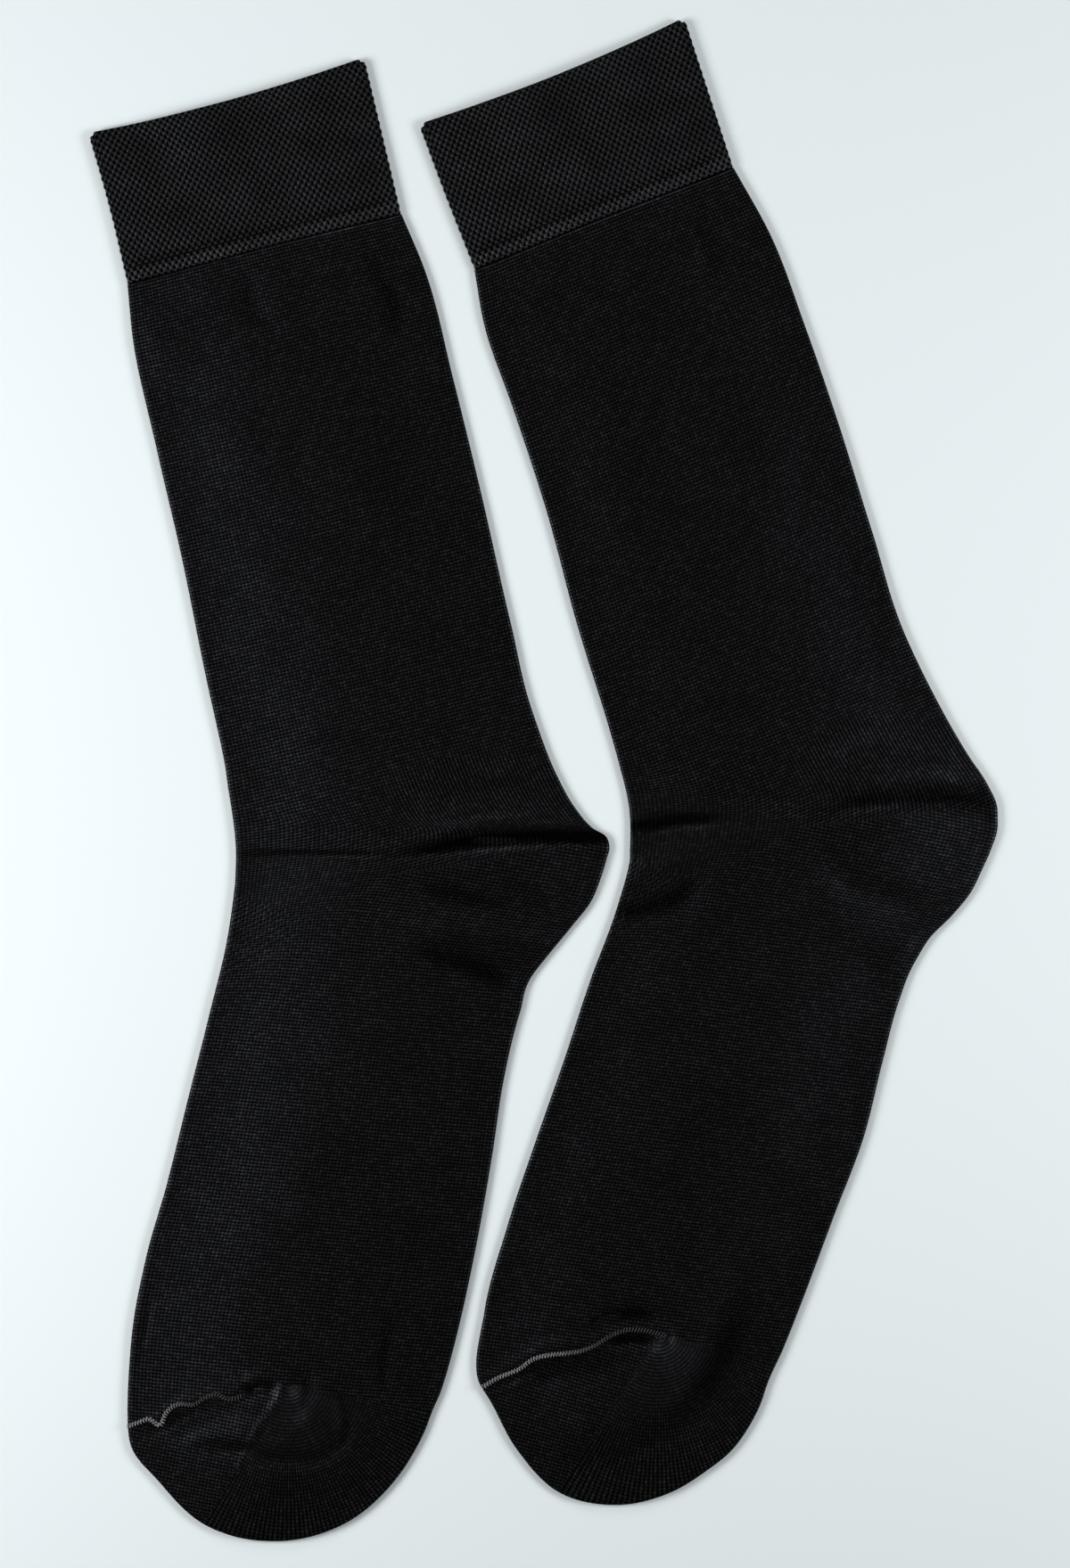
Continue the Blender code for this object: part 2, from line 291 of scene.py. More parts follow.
def shell(name, outer, outer_facts, inner, inner_facts, tip=None):
    """A closed cloth shell between an outer and an inner grid of ringed rows, joined at the first row and,
    unless the tube is closed to a tip, at the last. It returns the object and the facts of every face's
    corners."""
    across = outer.shape[1]
    outside = np.arange(outer.shape[0] * across).reshape(-1, across)
    inside = outside.size + np.arange(inner.shape[0] * across).reshape(-1, across)
    outside = np.concatenate([outside, outside[:, :1]], axis=1)
    inside = np.concatenate([inside, inside[:, :1]], axis=1)
    points = [outer.reshape(-1, 3), inner.reshape(-1, 3)]
    facts = [grid.reshape(-1, grid.shape[-1]) for grid in (outer_facts, inner_facts)]
    quads = [strip(a, b) for a, b in zip(outside[:-1], outside[1:])]
    quads += [strip(b, a) for a, b in zip(inside[:-1], inside[1:])]
    quads.append(strip(inside[0], outside[0]))
    triangles = np.empty((0, 3), int)
    if tip is None:
        quads.append(strip(outside[-1], inside[-1]))
    else:
        count = outside[:, :-1].size + inside[:, :-1].size
        middle = inner[-1].mean(axis=0)
        points += [tip[None], middle[None]]
        facts += [outer_facts[-1].mean(axis=0)[None], inner_facts[-1].mean(axis=0)[None]]
        fan = [outside[-1, :-1], np.full(across, count), outside[-1, 1:]]
        inner_fan = [inside[-1, 1:], np.full(across, count + 1), inside[-1, :-1]]
        triangles = np.concatenate([np.stack(fan, axis=-1), np.stack(inner_fan, axis=-1)])
    quads = np.concatenate(quads)
    mesh = bpy.data.meshes.new(name)
    mesh.from_pydata((np.concatenate(points) * MM).tolist(), [], quads.tolist() + triangles.tolist())
    mesh.shade_smooth()
    obj = bpy.data.objects.new(name, mesh)
    bpy.context.scene.collection.objects.link(obj)
    facts = np.concatenate(facts)
    return obj, facts[quads], facts[triangles]


def lay_uv(mesh, name, corners):
    """Writes one place on the cloth for each corner of each face."""
    layer = mesh.uv_layers.new(name=name)
    places = np.concatenate([part.reshape(-1) for part in corners])
    layer.uv.foreach_set("vector", places.astype(np.float32))


def linear(code):
    """The linear colour, with alpha, of an sRGB hex code."""
    value = np.array([int(code[i : i + 2], 16) for i in (1, 3, 5)]) / 255
    value = np.where(value <= 0.04045, value / 12.92, ((value + 0.055) / 1.055) ** 2.4)
    return (*value.tolist(), 1.0)


def add(tree, kind, inputs, output=0, **settings):
    """Adds a node with these settings and gives one of its outputs. An input is a value or another node's
    output."""
    node = tree.nodes.new("ShaderNode" + kind)
    for name, value in settings.items():
        setattr(node, name, value)
    for key, value in inputs.items():
        if isinstance(value, bpy.types.NodeSocket):
            tree.links.new(value, node.inputs[key])
        else:
            node.inputs[key].default_value = value
    return node.outputs[output]


def start_material(name):
    """A new material, its nodes and its shader."""
    material = bpy.data.materials.new(name)
    material.use_nodes = True
    return material, material.node_tree, material.node_tree.nodes["Principled BSDF"]


def black_cotton(tree, shader, tone, lit_colour, gleam, height):
    """Black mercerised cotton: all but black where the tone is low, of the lit fibres' colour where it is
    high, and with a cool gleam that grows with the tone. The tone carries the knit's painted light and shade.
    The height of its strands is a fine bump."""
    shades = {"Factor": tone, "A": linear("#010101"), "B": linear(lit_colour)}
    colour = add(tree, "Mix", shades, output=2, data_type="RGBA", clamp_factor=False)
    tree.links.new(colour, shader.inputs["Base Color"])
    sheen = add(tree, "Math", {0: tone, 1: gleam}, operation="MULTIPLY")
    tree.links.new(sheen, shader.inputs["Specular IOR Level"])
    bump = add(tree, "Bump", {"Strength": 0.5, "Distance": 0.00006, "Height": height})
    tree.links.new(bump, shader.inputs["Normal"])
    shader.inputs["Roughness"].default_value = 0.42
    shader.inputs["Specular Tint"].default_value = linear("#e4e9fc")


def tuck_knit_cotton():
    """Black mercerised cotton and elastane, tuck knitted: dull, with its pits painted dark as shade and the
    walls between them painted lighter, with a faint gleam on them. On the raised band colour and gleam are
    both painted brighter, where the roll catches the light. Its map counts cells across, and rows up from the
    leg."""
    material, tree, shader = start_material("tuck knit black cotton")
    cells = add(tree, "UVMap", {}, uv_map="knit")
    across = add(tree, "SeparateXYZ", {0: cells})
    along = across.node.outputs["Y"]
    turn_across = add(tree, "Math", {0: across, 1: 2 * math.pi}, operation="MULTIPLY")
    turn_along = add(tree, "Math", {0: along, 1: math.pi}, operation="MULTIPLY")
    wave_across = add(tree, "Math", {0: turn_across}, operation="COSINE")
    wave_along = add(tree, "Math", {0: turn_along}, operation="COSINE")
    lattice = add(tree, "Math", {0: wave_across, 1: wave_along}, operation="MULTIPLY")
    # Painted shade and light: the pits are all but black in the colour, and the walls between them lighter.
    tone = add(tree, "MapRange", {0: lattice, 1: -0.7, 2: 0.9}, interpolation_type="SMOOTHSTEP")
    strands = add(tree, "VectorMath", {0: cells, 1: (5.0, 2.5, 1.0)}, operation="MULTIPLY")
    fibre = add(tree, "TexNoise", {"Vector": strands, "Scale": 1.0, "Detail": 2.0, "Roughness": 0.7})
    light = add(tree, "MapRange", {0: fibre, 1: 0.35, 2: 0.65, 3: 0.15, 4: 1.6})
    tone = add(tree, "Math", {0: tone, 1: light}, operation="MULTIPLY")
    # Painted light: the raised band is brighter, as where its roll catches the light.
    band = add(tree, "MapRange", {0: along, 1: 2.9, 2: 3.3, 3: 1.6, 4: 1.0})
    tone = add(tree, "Math", {0: tone, 1: band}, operation="MULTIPLY")
    patches = add(tree, "TexNoise", {"Vector": cells, "Scale": 0.12, "Detail": 2.0})
    patch = add(tree, "MapRange", {0: patches, 1: 0.3, 2: 0.7, 3: 0.75, 4: 1.25})
    tone = add(tree, "Math", {0: tone, 1: patch}, operation="MULTIPLY")
    black_cotton(tree, shader, tone, lit_colour="#151411", gleam=0.36, height=fibre)
    return material


welt_material = tuck_knit_cotton()
for number, side in enumerate(SIDES):
    ankle = ankle_of(side)
    up_leg = heading(90 + LEG_LEAN[side])
    fronts, backs = section_edges(ankle, up_leg, WELTS[side])
    fronts, backs = even_rows(fronts, backs, HONEYCOMB_ROW / 4)
    rings = ring(top=8 * HONEYCOMB_CELLS + 1, bottom=2 * HONEYCOMB_CELLS, edge=14)
    place, _, high, cloth = rings
    flat = pressed(fronts, backs, rings, WELT_WALL, 0, 0, 1)[1]
    away = from_fold(fronts, backs, place)
    along = (travel(fronts) + travel(backs))[:, None] / 2
    to_end = along[-1] - along
    half = WELT_WALL + AIR / 2
    span = np.linalg.norm(backs - fronts, axis=1)[:, None] - 2 * half
    cell = (place * span + half * cloth) / span * HONEYCOMB_CELLS
    row = to_end / HONEYCOMB_ROW + 0 * cell
    pit = np.clip(0.5 - 0.5 * np.cos(2 * np.pi * cell) * np.cos(np.pi * row), 0, 1) ** 2
    rim = np.clip(np.minimum(along, to_end) / (WELT_WALL / 2), 0, 1)
    lip = 1 - np.sqrt(1 - (1 - rim) ** 2)
    soft = creased(flat - ankle, WELT_CREASES[side]) + undulation(flat, 11 + number, WELT_UNEVENNESS)
    roll = BAND_HEIGHT * np.clip((BAND_LENGTH - to_end) / BAND_SLOPE, 0, 1)
    for from_end, reach, rise in ROLL:
        roll = roll + rise * bell(to_end - from_end, reach)
    lift = crown(fronts, backs, place, *WELT_CROWN[side])
    lift = lift + (soft + roll) * (1 - bell(away, FOLD_REACH))
    near_corner = MOUTH_CORNER - np.minimum(away, MOUTH_CORNER)
    dip = MOUTH_CORNER - np.sqrt(MOUTH_CORNER**2 - near_corner**2)
    dip = (dip + MOUTH_SAG * 4 * place * (1 - place)) * np.exp(-along / MOUTH_REACH)
    outer = pressed(fronts, backs, rings, WELT_WALL, 0, lift, 1)[0]
    sunk = pressed(fronts, backs, rings, WELT_WALL, WELT_WALL, lift, 1)[0]
    for layer in (outer, sunk):
        layer[..., :2] -= dip[..., None] * up_leg
    # The underside is level where it rests. Elsewhere the pits sink in, and both ends round off to mid-wall.
    above = (high > -1)[None, :]
    sinks = above * (pit * (1 - 0.6 * lip) * PIT_DEPTH / WELT_WALL + 0.5 * lip)
    outer += (sunk - outer) * sinks[..., None]
    coarse = np.arange(0, len(fronts), WALL_ROW_STEP)
    wall_rows = np.unique(np.concatenate([[0, 1, 2], coarse, [len(fronts) - 1]]))
    cells = np.stack([cell, row], axis=-1)
    welt, corners, _ = shell(f"{side}_welt", outer, cells, sunk[wall_rows], cells[wall_rows])
    lay_uv(welt.data, "knit", [corners])
    welt.data.materials.append(welt_material)
    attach(welt, "root")
    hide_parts(f"{side}_cuff")

# The bodies: leg, heel, foot and toe of each sock, knitted on from the welt without a break in plain
# jersey, one thin layer of fine black cotton. The heel and the toe are pockets, whose rows turn back along
# slanting lines.
FOOT_LEAN = {"left": -11.0, "right": -15.2}
TOE_ALONG = {"left": 169.5, "right": 168.5}
ANKLE_FRONT = {"left": (-49.5, 0.0), "right": (-53.0, 0.5)}
JERSEY_WALL = 0.8
LEGS = {
    "left": [
        (180.0, 45.5, -1.0, 50.0, 1.0),
        (145.0, 45.5, -1.0, 51.5, 1.0),
        (109.0, 45.0, 0.0, 52.5, 0.0),
        (67.0, 45.5, 2.0, 53.0, -2.5),
        (34.0, 45.5, 7.0, 54.0, 0.5),
    ],
    "right": [
        (180.5, 45.5, 0.0, 50.0, 0.0),
        (151.0, 45.0, 1.0, 51.5, -1.5),
        (118.5, 45.0, 1.0, 52.0, -1.0),
        (80.5, 47.0, 0.5, 51.5, -0.5),
        (36.5, 47.5, 12.0, 51.5, 6.5),
    ],
}
FEET = {
    "left": [
        (8.0, 47.5, 8.5, 51.5, 19.0),
        (22.0, 46.5, 11.5, 49.5, 18.0),
        (61.0, 47.5, -1.0, 48.5, 1.0),
        (87.0, 49.0, 0.0, 49.5, 0.0),
        (116.0, 50.5, 0.0, 50.0, 0.0),
        (141.0, 52.5, -1.0, 49.5, 1.0),
        (156.5, 52.0, 10.5, 48.0, 5.5),
    ],
    "right": [
        (9.0, 48.0, 17.0, 48.5, 23.0),
        (26.0, 48.0, 17.0, 46.5, 20.5),
        (66.0, 50.0, -1.0, 46.5, 0.5),
        (92.5, 51.5, 0.5, 47.0, -0.5),
        (119.5, 53.5, 1.5, 44.5, -1.5),
        (146.0, 55.0, 1.5, 42.0, -1.0),
        (157.0, 55.0, 19.5, 40.0, 6.0),
    ],
}
# A ray of a pocket: its angle counter-clockwise from +X, and its reach in millimetres to the folded edge.
# The heel's rays leave the ankle point, and the toe's leave the toe point, which lies down the foot from
# the ankle.
HEELS = {
    "left": [
        (27.0, 59.0),
        (16.0, 60.5),
        (9.0, 64.5),
        (5.5, 69.0),
        (3.0, 69.5),
        (0.0, 68.5),
        (-5.0, 67.0),
        (-12.0, 65.0),
        (-20.0, 61.5),
        (-32.0, 58.5),
    ],
    "right": [
        (21.0, 58.5),
        (10.5, 62.0),
        (4.0, 64.0),
        (1.0, 64.0),
        (-2.0, 64.0),
        (-8.5, 62.5),
        (-15.0, 61.0),
        (-22.0, 60.0),
        (-31.0, 58.0),
        (-42.0, 56.5),
    ],
}
TOES = {
    "left": [
        (-15.0, 46.0),
        (-28.0, 45.5),
        (-44.0, 46.0),
        (-69.0, 48.5),
        (-96.0, 51.0),
        (-121.0, 53.0),
        (-143.0, 52.5),
        (-159.0, 54.5),
        (-162.0, 54.0),
    ],
    "right": [
        (-29.0, 39.0),
        (-46.5, 42.0),
        (-58.0, 44.5),
        (-71.0, 47.0),
        (-86.0, 51.5),
        (-105.0, 57.0),
        (-121.0, 60.0),
        (-140.0, 58.5),
        (-159.0, 58.0),
        (-163.0, 59.0),
    ],
}
TOE_TIP = {"left": -98.0, "right": -104.0}
# The swellings that the heel and the toe keep: the middle of each from the ankle point, its reach and its
# rise.
SWELLINGS = {
    "left": [((44, -7), 15, 1.0), ((-46, -200), 20, 0.9), ((-38, -180), 13, 0.7)],
    "right": [((32, -11), 22, 0.8), ((-60, -196), 20, 0.9), ((-64, -190), 9, 0.5)],
}
# The creases, as for the welts.
CREASES = {
    "left": [
        # The heel, from the deep fold behind the ankle down.
        ([(-1, 0.5), (12, 2.4), (24, 4.4), (36, 6), (50, 6.8), (66, 6.6), (80, 6.4)], 1.9, 2.4, -1.2),
        ([(2, 2), (12, 3.8), (28, 6.4), (48, 7.4), (66, 7.2), (80, 7)], 2.4, 3.4, -1.2),
        ([(2, 4.5), (14, 7.5), (30, 11), (46, 12), (62, 11)], 2.6, 3.6, 1.0),
        ([(8, 17), (26, 23), (50, 26)], 4, 5, -0.6),
        ([(6, -8), (28, -13), (50, -14)], 4.5, 5.5, -1.1),
        ([(2, -17), (20, -22.5), (38, -25), (56, -28)], 4, 4, 0.9),
        ([(4, -27), (24, -34), (42, -41)], 4, 5, -1.0),
        # The instep and the foot.
        ([(-58, 1), (-36, 1.5), (-12, 1.5), (6, 1)], 1.3, 1.0, -0.8),
        ([(-27, -80), (-5.5, -81.5), (11.5, -91.5)], 1.5, 1.5, -0.2),
        ([(-76, -137), (-80, -159)], 1.2, 1.0, -0.3),
        # The toe: round the toe point, along its gore and beside the seam.
        ([(0, -142), (-3, -160), (-5, -174)], 3.5, 3.5, -0.7),
        ([(-21, -160), (-15.5, -173), (-15, -183), (-21, -189.5), (-33, -191), (-60, -187)], 3.0, 2.6, -0.75),
        ([(-27, -160), (-28, -171), (-35, -181)], 4, 3.4, -0.8),
        ([(-33, -165), (-35, -169), (-38, -176)], 1.4, 1.1, 0.6),
        ([(-36, -172), (-43, -182), (-47, -190), (-50, -197)], 1.0, 1.0, 0.22),
        ([(-48, -171), (-44.5, -168.8), (-41.3, -168.3), (-38.3, -168.8), (-36, -170.2)], 1.5, 1.7, -1.7),
        ([(-48, -168), (-42, -164.8), (-36, -165.5)], 1.6, 1.6, 0.7),
        ([(-84, -182.5), (-73.5, -181.5), (-64, -175.5), (-50, -173.5)], 1.2, 1.2, -0.5),
        ([(-84, -178.5), (-73.5, -177.5), (-64, -171.8), (-50, -169.5)], 1.5, 1.5, 0.35),
        ([(-74, -184), (-59, -178.5), (-44, -176)], 4, 4, -0.6),
        ([(-59, -186.5), (-50, -187.5), (-42, -187.5)], 2.2, 2.2, -0.8),
        # The leg below the welt.
        ([(-11.5, 197), (0, 177), (0, 160)], 3.5, 5, -0.7),
        ([(-44, 190), (-46, 178), (-34, 164)], 4, 5, -0.5),
        ([(-22, 190), (-16, 170)], 4, 6, 0.5),
        ([(-78, 176), (-70, 150)], 6, 9, 0.4),
    ],
    "right": [
        # The heel, from the fold behind the ankle down.
        ([(2, 2), (10, 4), (20, 5.8), (38, 7.6), (54, 7), (68, 4.5)], 3, 3.8, -1.5),
        ([(10, 12), (36, 16), (54, 14)], 4.5, 4.5, 0.7),
        ([(10.5, 20), (30, 25)], 3, 3, -0.4),
        ([(6, -12), (24.5, -23.5), (46, -28)], 4.5, 5.5, -0.8),
        ([(12, -32), (26, -38), (44, -42)], 6, 7, 0.4),
        # The instep and the foot.
        ([(-64, -2), (-51.5, -1.5), (-36, 0), (-18, 0.5)], 3.5, 2, -1.3),
        ([(-64, -30), (-54, -28.5), (-40, -26), (-28, -16)], 4, 4, -1.1),
        ([(-60, -16), (-44, -13), (-30, -8)], 4, 4, 0.7),
        ([(-63, -67.5), (-38, -71), (-9.5, -88)], 1.5, 1.5, -0.2),
        # The toe: beside the seam, along its gore and down the sole.
        ([(-70, -162.5), (-64, -160), (-56, -157.2), (-42, -157.5)], 2.4, 2.4, -1.3),
        ([(-90, -180), (-70, -174), (-50, -172)], 4, 5, -0.8),
        ([(-62, -166.5), (-56, -165.2), (-50, -165), (-44, -166.2)], 1.5, 1.6, -1.6),
        ([(-43, -161), (-40.5, -163.5), (-42, -167)], 1.3, 1.3, 0.5),
        ([(-100, -182.5), (-88, -176.5), (-78, -172), (-66, -170)], 1.3, 1.3, -0.5),
        ([(-99, -177.5), (-88, -171.5), (-78, -167), (-66, -165)], 1.5, 1.5, 0.5),
        ([(-43, -165), (-53, -180.5), (-62, -194)], 1.1, 1.0, 0.25),
        ([(-16, -140), (-25, -172), (-40, -191), (-64, -204), (-84, -210)], 6.5, 7, -1.05),
        # The leg below the welt.
        ([(-38, 196), (-29, 184.5), (-26.5, 167.5)], 4, 5, -0.6),
        ([(-79, 173), (-72, 162)], 4, 4, -0.4),
        ([(-60, 180), (-54, 150)], 7, 9, 0.35),
    ],
}
# Where the rows turn back: along the heel's and the toe's slanting lines, each from the point outwards.
HEEL_GORES = {"left": [(4.5, -4.5), (39, 1)], "right": [(1, -2), (40.5, 2.5)]}
TOE_GORES = {
    "left": [(-36, -172.5), (-43.5, -180.5), (-46, -187.5), (-49.5, -195.5)],
    "right": [(-45.5, -168), (-53, -180.5), (-58, -187), (-63.5, -194)],
}
# Seen from the toe point, the toe's gore and the front end of its pocket.
TOE_GORE_ANGLE = {"left": -121.0, "right": -122.0}
TOE_FRONT_ANGLE = -163.0
# The knit: the wales across one layer, the size of a stitch, the reach at which a stitch that turns round
# the toe has its plain length, and how wide the blend at the heel's gore is, at least and for each
# millimetre before it.
WALES_ACROSS = 84
WALE = 1.15
COURSE = 1.08
TURNING_REACH = 36.0
MITRE_WIDTH = 0.05
MITRE_WIDENS = 0.6
# The mesh: the toe's rows, the pitch of all rows, and the finer one over these lengths, at the heel and at
# the toe.
TOE_ROWS = 24
ROW_PITCH = 1.3
FINE_PITCH = 0.5
FINE_ROWS = [(158.0, 232.0), (392.0, 450.0)]
# The body starts this far below the welt, and its inner wall ends where the toe is narrower than this.
WELT_GAP = 0.05
LEAST_LINED = 12.0
# Above the heel the jersey is stretched across its wales: the middle of that patch from the ankle, and its
# reach.
STRETCHED_AT = (30.0, 19.0)
STRETCHED_REACH = (29.0, 15.0)
# The swell, as for the welts, and how far from the toe's tip it goes on rising.
CROWN = {"left": (26.0, 21.0, 2.5), "right": (22.0, 26.0, 2.5)}
TIP_REACH = 18.0
JERSEY_UNEVENNESS = 0.1
# How deep a hollow is where its painted shade begins, and where that shade leaves next to no light.
DIM_HOLLOW = 0.25
DARK_HOLLOW = 1.35


def ray_ends(apex, rays):
    """The points where a pocket's rays meet its folded edge."""
    angle, reach = np.array(rays, float).T
    return apex + heading(angle) * reach[:, None]


def body_edges(side, ankle):
    """The front and back edge points from the welt to the toe's tip. Past the heel the front edge keeps
    pace with the back one, and in the toe both edges run round to the tip at an even turn."""
    up_leg, down_foot = heading(90 + LEG_LEAN[side]), heading(270 + FOOT_LEAN[side])
    toe_point = ankle + down_foot * TOE_ALONG[side]
    leg_front, leg_back = section_edges(ankle, up_leg, WELTS[side][-1:] + LEGS[side])
    foot_front, foot_back = section_edges(ankle, down_foot, FEET[side])
    heel_back = ray_ends(ankle, HEELS[side])
    round_back = travel(np.concatenate([leg_back[-1:], heel_back, foot_back[:1]]))
    instep = np.stack([leg_front[-1], ankle + ANKLE_FRONT[side], foot_front[0]])
    pace = round_back[1:-1] / round_back[-1] * travel(instep)[-1]
    heel_front = smooth(pace, travel(instep), instep)
    angle, reach = np.array(TOES[side][::-1], float).T
    inwards = np.linspace(1, 0, TOE_ROWS)[:, None]
    corners = np.array([angle[0], angle[-1]])
    turned = TOE_TIP[side] + inwards * (corners - TOE_TIP[side])
    toe = toe_point + heading(turned) * smooth(turned.ravel(), angle, reach).reshape(-1, 2, 1)
    fronts = np.concatenate([leg_front, heel_front, foot_front, toe[:, 0]])
    backs = np.concatenate([leg_back, heel_back, foot_back, toe[:, 1]])
    return fronts, backs, toe_point


def down_wales(plan):
    """How far each point of a grid of rows lies down its own column."""
    steps = np.linalg.norm(np.diff(plan, axis=0), axis=-1)
    return np.concatenate([0 * steps[:1], np.cumsum(steps, axis=0)])


def stitches(side, facts, ankle, toe_point):
    """The place in the knit of each corner of each face, in millimetres. The wales run down the tube. In
    the leg courses are counted from the welt, and below the heel's gore from the toe: they meet along it in
    a mitre, and blend over the instep. Round the toe the sole's wales are arcs about the toe point, up to
    the toe's gore."""
    plan, wale, above, below = facts[..., :2], facts[..., 2], facts[..., 3], facts[..., 4]
    centre = facts[..., :2].mean(axis=1)
    gore = ankle + np.array(HEEL_GORES[side], float)
    run = gore[1] - gore[0]
    run /= np.linalg.norm(run)
    along_gore = (centre - gore[0]) @ run
    height = run[0] * (centre - gore[0])[:, 1] - run[1] * (centre - gore[0])[:, 0]
    blend = MITRE_WIDTH + MITRE_WIDENS * np.clip(-along_gore, 0, None)
    share = ease(np.clip(0.5 - 0.5 * height / blend, 0, 1))[:, None]
    plain = np.stack([wale, above * (1 - share) + below * share], axis=-1)
    mean = centre - toe_point
    face = np.degrees(np.arctan2(mean[:, 1], mean[:, 0]))[:, None]
    off = plan - toe_point
    angle = face + (np.degrees(np.arctan2(off[..., 1], off[..., 0])) - face + 180) % 360 - 180
    reach = np.linalg.norm(off, axis=-1) + WALES_ACROSS * WALE / 2
    arcs = np.stack([reach, np.radians(angle - FOOT_LEAN[side]) * TURNING_REACH], axis=-1)
    down_foot = heading(270 + FOOT_LEAN[side])
    pocket = np.stack([off @ np.array([-down_foot[1], down_foot[0]]), -off @ down_foot], axis=-1)
    in_sole = (face > TOE_GORE_ANGLE[side]) & (face < FOOT_LEAN[side])
    in_pocket = (face <= TOE_GORE_ANGLE[side]) & (face > TOE_FRONT_ANGLE)
    return np.where(in_sole[..., None], arcs, np.where(in_pocket[..., None], pocket, plain))


def gore_places(plan, lines):
    """For each corner, how far along and how far across the nearest gore it lies."""
    centre = plan.mean(axis=1)
    found = [nearest_on(centre, line)[0] for line in lines]
    nearest = np.argmin(found, axis=0)[:, None]
    places = np.zeros(plan.shape)
    for number, line in enumerate(lines):
        distance, share, side = nearest_on(plan, line)
        length = travel(np.array(line, float))[-1]
        place = np.stack([share * length, distance * side], axis=-1)
        places = np.where((nearest == number)[..., None], place, places)
    return places


def plain_jersey_cotton():
    """Fine black mercerised cotton in plain jersey. Each stitch shows as a V of two yarn legs, a millimetre
    wide, one of them painted brighter as if lit from the side, with painted shade, all but black, between
    them, and stray painted glints. The gores are dotted lines. The stretch map says where the V gives way to
    plain ribs, and how deep in a hollow the cloth is, and so how dark its painted shade."""
    material, tree, shader = start_material("plain jersey black cotton")
    cloth = add(tree, "UVMap", {}, uv_map="knit")
    count = add(tree, "VectorMath", {0: cloth, 1: (1 / WALE, 1 / COURSE, 1.0)}, operation="MULTIPLY")
    wale = add(tree, "SeparateXYZ", {0: count})
    course = wale.node.outputs["Y"]
    in_wale = add(tree, "Math", {0: wale}, operation="FRACT")
    off_middle = add(tree, "Math", {0: in_wale, 1: 0.5}, operation="SUBTRACT")
    off_middle = add(tree, "Math", {0: off_middle}, operation="ABSOLUTE")
    slanted = add(tree, "Math", {0: off_middle, 1: 0.5, 2: course}, operation="MULTIPLY_ADD")
    turn = add(tree, "Math", {0: slanted, 1: 2 * math.pi}, operation="MULTIPLY")
    strand = add(tree, "Math", {0: turn}, operation="COSINE")
    strand = add(tree, "MapRange", {0: strand, 1: -1.0, 2: 1.0})
    wale_turn = add(tree, "Math", {0: wale, 1: 2 * math.pi}, operation="MULTIPLY")
    rib = add(tree, "Math", {0: wale_turn}, operation="COSINE")
    rib = add(tree, "MapRange", {0: rib, 1: 1.0, 2: -1.0})
    stretch = add(tree, "SeparateXYZ", {0: add(tree, "UVMap", {}, uv_map="stretch")})
    rib_share = add(tree, "MapRange", {0: stretch, 3: 0.55, 4: 1.15})
    strand_share = add(tree, "MapRange", {0: stretch, 3: 0.95, 4: 0.25})
    rib = add(tree, "Mix", {"Factor": rib_share, "A": 1.0, "B": rib})
    strand = add(tree, "Mix", {"Factor": strand_share, "A": 1.0, "B": strand})
    height = add(tree, "Math", {0: rib, 1: strand}, operation="MULTIPLY")
    # Painted light: one leg of each V is lighter in colour, as if lit from the side.
    leg = add(tree, "Math", {0: wale_turn}, operation="SINE")
    painted_leg_light_range = {0: leg, 1: -0.4, 2: 0.4, 3: 0.75, 4: 1.25}
    painted_lit_leg = add(tree, "MapRange", painted_leg_light_range, interpolation_type="SMOOTHSTEP")
    # Painted shade: the tone, and so the colour, is all but black where the strands are low, between
    # stitches.
    tone = add(tree, "Math", {0: height, 1: painted_lit_leg}, operation="MULTIPLY")
    # Painted glints: stray stitches are lighter in colour, and gleam more.
    glint_cells = add(tree, "VectorMath", {0: count, 1: (1.0, 2.0, 1.0)}, operation="MULTIPLY")
    glint_cells = add(tree, "VectorMath", {0: glint_cells}, operation="FLOOR")
    chance = add(tree, "TexWhiteNoise", {"Vector": glint_cells}, noise_dimensions="2D")
    rare = add(tree, "Math", {0: chance, 1: 3.0}, operation="POWER")
    painted_glint = add(tree, "MapRange", {0: rare, 3: 0.75, 4: 1.8})
    tone = add(tree, "Math", {0: tone, 1: painted_glint}, operation="MULTIPLY")
    patches = add(tree, "TexNoise", {"Vector": cloth, "Scale": 0.05, "Detail": 2.0})
    patch = add(tree, "MapRange", {0: patches, 1: 0.3, 2: 0.7, 3: 0.9, 4: 1.1})
    tone = add(tree, "Math", {0: tone, 1: patch}, operation="MULTIPLY")
    # Painted shade: the deeper the hollow, the darker the colour and the weaker the gleam.
    painted_hollow_shade = add(tree, "MapRange", {0: stretch.node.outputs["Y"], 3: 1.0, 4: 0.12})
    tone = add(tree, "Math", {0: tone, 1: painted_hollow_shade}, operation="MULTIPLY")
    gore = add(tree, "SeparateXYZ", {0: add(tree, "UVMap", {}, uv_map="gores")})
    across_gore = add(tree, "Math", {0: gore.node.outputs["Y"]}, operation="ABSOLUTE")
    gore_line = {0: across_gore, 1: 0.25, 2: 0.7, 3: 0.8, 4: 0.0}
    on_gore = add(tree, "MapRange", gore_line, interpolation_type="SMOOTHSTEP")
    dots = add(tree, "Math", {0: gore, 1: 2 * math.pi / 1.3}, operation="MULTIPLY")
    dots = add(tree, "Math", {0: dots}, operation="SINE")
    dots = add(tree, "MapRange", {0: dots, 1: -0.2, 2: 0.8, 3: 0.15, 4: 0.9})
    tone = add(tree, "Mix", {"Factor": on_gore, "A": tone, "B": dots})
    black_cotton(tree, shader, tone, lit_colour="#0d0c09", gleam=0.4, height=height)
    return material


